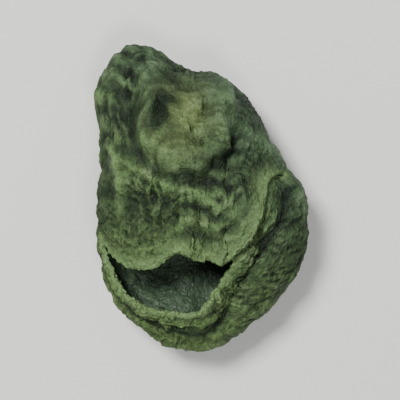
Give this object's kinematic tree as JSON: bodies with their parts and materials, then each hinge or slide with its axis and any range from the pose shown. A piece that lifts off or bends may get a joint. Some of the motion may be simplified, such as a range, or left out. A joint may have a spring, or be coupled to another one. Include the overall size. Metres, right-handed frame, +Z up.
{
  "type": "dried wood ear mushroom",
  "caption": "Dried wood ear mushroom, crumpled into a hollow purse with a coiled attachment knob, a folded side lobe and a curled rim round an open mouth.",
  "frame": {"origin": "on the surface it rests on, under the middle of its bounding box", "axes": "+Z up; +Y along its length towards the closed end with the attachment knob and the side lobe; the mouth opens towards -Y and up"},
  "size_m": [0.0246, 0.0348, 0.0132],
  "materials": {
    "dried_tissue": "dull, dry and wrinkled, with a faint velvety sheen; the inside of the hollow darker and smoother"
  },
  "bodies": {
    "root": {"wood_ear": "dried_tissue"}
  },
  "joints": []
}
